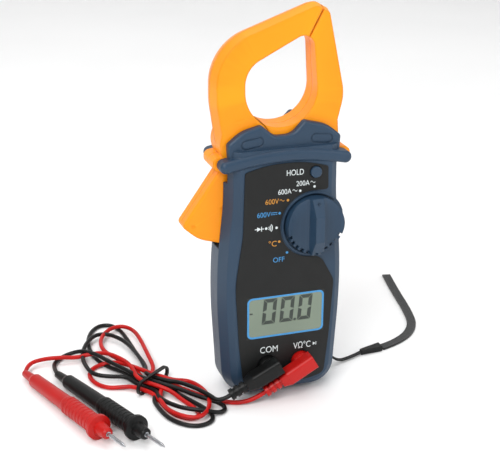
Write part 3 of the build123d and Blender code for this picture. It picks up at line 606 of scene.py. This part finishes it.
diode += [arc_band(-10.6, DIODE_Z, 1.3 + 0.85 * i, 0.4, -40, 40) for i in range(3)]
marks("diode_and_buzzer", diode, "white")
small = [[(16.4, 28.9), (16.4, 27.1), (18.0, 28.0)], bar(18.0, 18.35, 27.0, 29.0)]
marks("volt_diode", small, "white")

# ---------------------------------------------------------------- display
LCD_LOW, LCD_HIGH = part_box("display_lens")


def rounded(x0, x1, z0, z1, r, count=6):
    """The corners of a rectangle with round corners."""
    centres = ((x1 - r, z1 - r, 0), (x0 + r, z1 - r, 90), (x0 + r, z0 + r, 180), (x1 - r, z0 + r, 270))
    return [(x + r * cos(radians(a + 90 * i / count)), z + r * sin(radians(a + 90 * i / count)))
            for x, z, a in centres for i in range(count + 1)]


def ring(name, outer, inner, ink, lift):
    """A flat printed band between two outlines with the same number of corners."""
    mesh = bmesh.new()
    y = PANEL_Y - lift
    rows = [[mesh.verts.new((x * MM, y, z * MM)) for x, z in line] for line in (outer, inner)]
    count = len(outer)
    for i in range(count):
        j = (i + 1) % count
        mesh.faces.new((rows[0][i], rows[0][j], rows[1][j], rows[1][i]))
    raise_print(mesh, list(mesh.faces))
    finish_print(mesh_object(name, mesh), ink)


x0, x1 = LCD_LOW[0] / MM, LCD_HIGH[0] / MM
z0, z1 = LCD_LOW[2] / MM, LCD_HIGH[2] / MM
ring("display_corners", rounded(x0 - 0.02, x1 + 0.02, z0 - 0.02, z1 + 0.02, 0.05),
     rounded(x0 + 0.3, x1 - 0.3, z0 + 0.3, z1 - 0.3, 2.7), "black", 0)
ring("display_border", rounded(x0 + 0.25, x1 - 0.25, z0 + 0.25, z1 - 0.25, 2.8),
     rounded(x0 + 1.25, x1 - 1.25, z0 + 1.25, z1 - 1.25, 2.0), "blue", INK / 2)

DIGIT_W, DIGIT_H, STROKE, SLANT = 7.4, 14.4, 2.0, 0.09


def digit(x, z, segments="abcdef"):
    """A slanted seven-segment figure from its lower left corner."""
    w, h, t, g = DIGIT_W, DIGIT_H, STROKE, 0.18
    half = h / 2
    shapes = {
        "a": [(g, h), (w - g, h), (w - t - g, h - t), (t + g, h - t)],
        "d": [(g, 0), (w - g, 0), (w - t - g, t), (t + g, t)],
        "f": [(0, h - g), (t, h - t - g), (t, half + t / 2), (0, half + g)],
        "e": [(0, g), (t, t + g), (t, half - t / 2), (0, half - g)],
        "b": [(w, h - g), (w - t, h - t - g), (w - t, half + t / 2), (w, half + g)],
        "c": [(w, g), (w - t, t + g), (w - t, half - t / 2), (w, half - g)],
    }
    return [[(x + a + SLANT * b, z + b) for a, b in shapes[key]] for key in segments]


figures = digit(-13.0, 43.2) + digit(-3.1, 43.2) + digit(6.9, 43.2)
figures += [circle(5.6, 44.0, 0.8, 12)]
marks("display_figures", figures, "segment")
marks("display_sign", [bar(-19.6, -18.0, 49.8, 50.6)], "segment")

# ---------------------------------------------------------------- setting
def stage():
    """A pale floor that curves up behind."""
    mesh = bmesh.new()
    profile = [(-3.0, 0.0), (1.2, 0.0)]
    profile += [(1.2 + 0.8 * sin(radians(a)), 0.8 - 0.8 * cos(radians(a))) for a in range(10, 91, 10)]
    profile += [(2.0, 3.0)]
    rows = [[mesh.verts.new((x, y, z)) for y, z in profile] for x in (-3.5, 3.5)]
    for i in range(len(profile) - 1):
        mesh.faces.new((rows[0][i], rows[1][i], rows[1][i + 1], rows[0][i + 1]))
    floor = mesh_object("floor", mesh)
    for face in floor.data.polygons:
        face.use_smooth = True
    s = Surface("floor", 0.7, specular=0.2)
    s.colour(s.ramp(s.noise(3, 2), [(0.3, srgb("#F6F6F6")), (0.7, srgb("#FAFAFA"))]))
    dress(floor, s.material)


def area_light(name, place, aim, size, power):
    """A soft square light that points at a place."""
    data = bpy.data.lights.new(name, "AREA")
    data.size = size
    data.energy = power
    light = bpy.data.objects.new(name, data)
    bpy.context.collection.objects.link(light)
    light.location = place
    light.rotation_euler = (Vector(aim) - Vector(place)).to_track_quat("-Z", "Y").to_euler()


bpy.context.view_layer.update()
stage()
AIM = (0, 0, 0.08)
area_light("key", (-0.9, -1.0, 1.3), AIM, 0.9, 21)
area_light("fill", (1.1, -0.9, 0.8), AIM, 1.1, 8)
area_light("top", (0, 0.3, 1.6), (0, 0, 0.1), 1.4, 12)
world = bpy.data.worlds.new("studio")
world.use_nodes = True
world.node_tree.nodes["Background"].inputs["Color"].default_value = (1.0, 1.0, 1.0, 1)
world.node_tree.nodes["Background"].inputs["Strength"].default_value = 0.42
bpy.context.scene.world = world
bpy.context.scene.view_settings.view_transform = "Standard"
